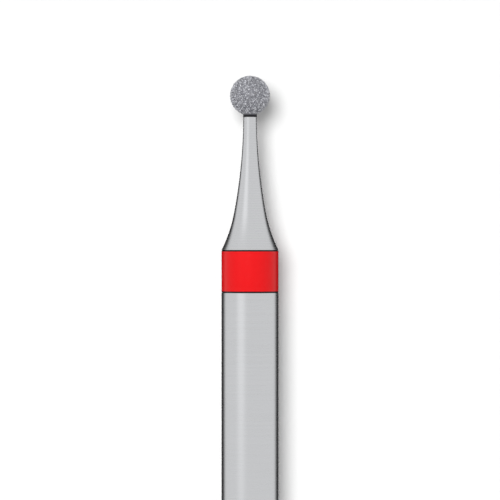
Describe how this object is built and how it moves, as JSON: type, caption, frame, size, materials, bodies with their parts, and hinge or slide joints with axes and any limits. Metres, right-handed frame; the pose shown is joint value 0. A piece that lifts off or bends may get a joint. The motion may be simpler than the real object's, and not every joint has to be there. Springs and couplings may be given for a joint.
{
  "type": "dental diamond bur",
  "caption": "Round-head dental diamond bur with a slim flared neck, a red fine-grit ring and a plain friction-grip shank.",
  "frame": {"origin": "centre of the flat end face of the shank", "axes": "+Z along the axis of rotation, from the shank's end face towards the head"},
  "size_m": [0.0016, 0.0016, 0.019],
  "materials": {
    "steel": "ground and turned stainless steel",
    "nickel": "matt electroplated nickel",
    "diamond": "sharp grey diamond grit",
    "red_lacquer": "baked gloss lacquer"
  },
  "bodies": {
    "root": {"turned_blank": "steel", "nickel_bond": "nickel", "diamond_crystals": "diamond", "grit_ring": "red_lacquer"}
  },
  "joints": []
}
